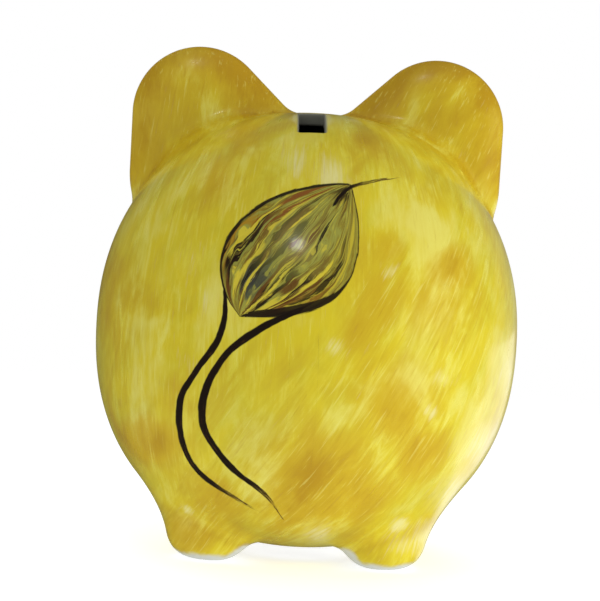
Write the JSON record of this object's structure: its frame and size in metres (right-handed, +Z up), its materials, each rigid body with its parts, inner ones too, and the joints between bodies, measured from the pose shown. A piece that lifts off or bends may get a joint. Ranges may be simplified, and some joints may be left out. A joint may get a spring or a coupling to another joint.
{
  "type": "piggy bank",
  "caption": "Round ceramic pig money bank with upright rounded ears, a coin slot in its back and a rubber stopper in its belly.",
  "frame": {"origin": "on the ground under the middle of the bank's bounding box", "axes": "+Z up; the pig faces -Y and its left side is +X"},
  "size_m": [0.1048, 0.136, 0.1242],
  "materials": {
    "yellow_glaze": "lemon yellow paint brushed over white under a clear gloss glaze",
    "ochre_glaze": "ochre and yellow paint in overlapping strokes under a clear gloss glaze",
    "foot_glaze": "yellow gloss glaze that stops short of a bare white rim",
    "stopper_rubber": "matt pale grey rubber"
  },
  "bodies": {
    "bank": {"body_shell": "yellow_glaze", "snout": "ochre_glaze", "ear_left": "ochre_glaze", "ear_right": "ochre_glaze", "foot_front_left": "foot_glaze", "foot_front_right": "foot_glaze", "foot_rear_left": "foot_glaze", "foot_rear_right": "foot_glaze"},
    "stopper": {"stopper": "stopper_rubber"}
  },
  "joints": [
    {"name": "stopper_slide", "type": "slide", "parent": "bank", "child": "stopper", "axis": [0, 0, -1], "range_m": [0, 0.018]}
  ]
}
